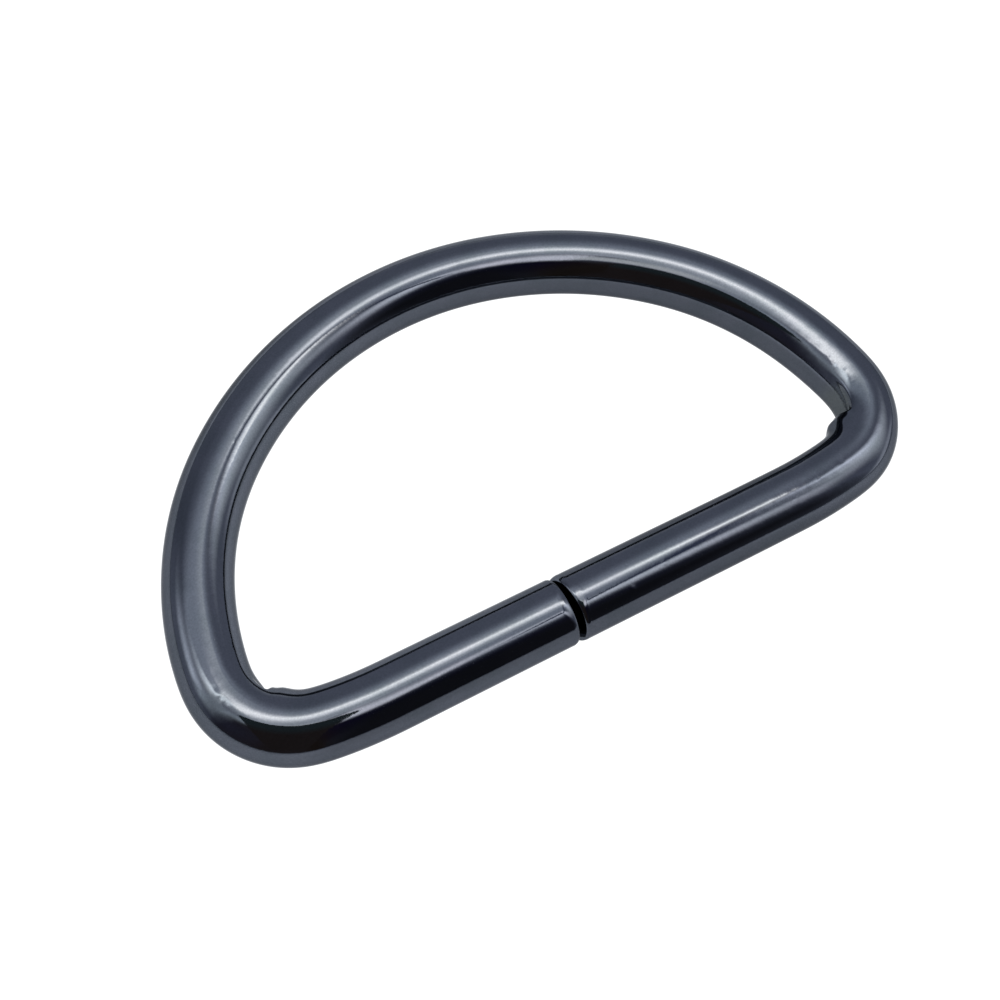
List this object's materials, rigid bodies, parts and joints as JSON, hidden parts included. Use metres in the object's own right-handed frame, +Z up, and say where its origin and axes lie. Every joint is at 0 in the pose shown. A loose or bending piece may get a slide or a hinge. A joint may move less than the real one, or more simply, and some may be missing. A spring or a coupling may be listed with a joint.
{
  "type": "d ring",
  "caption": "Flat D ring of bent round wire with a straight bar for a strap, an open butt joint in the bar and a black nickel finish.",
  "frame": {"origin": "on the surface that the ring lies on, under the middle of its outer width and height", "axes": "+X along the straight bar, +Y from the bar to the crown of the bow, +Z up from the surface"},
  "size_m": [0.0578, 0.0336, 0.005],
  "materials": {
    "black_nickel": "glossy black nickel plate on steel wire, dark blue-grey, mirror smooth with slight ripples"
  },
  "bodies": {
    "root": {"d_ring": "black_nickel"}
  },
  "joints": []
}
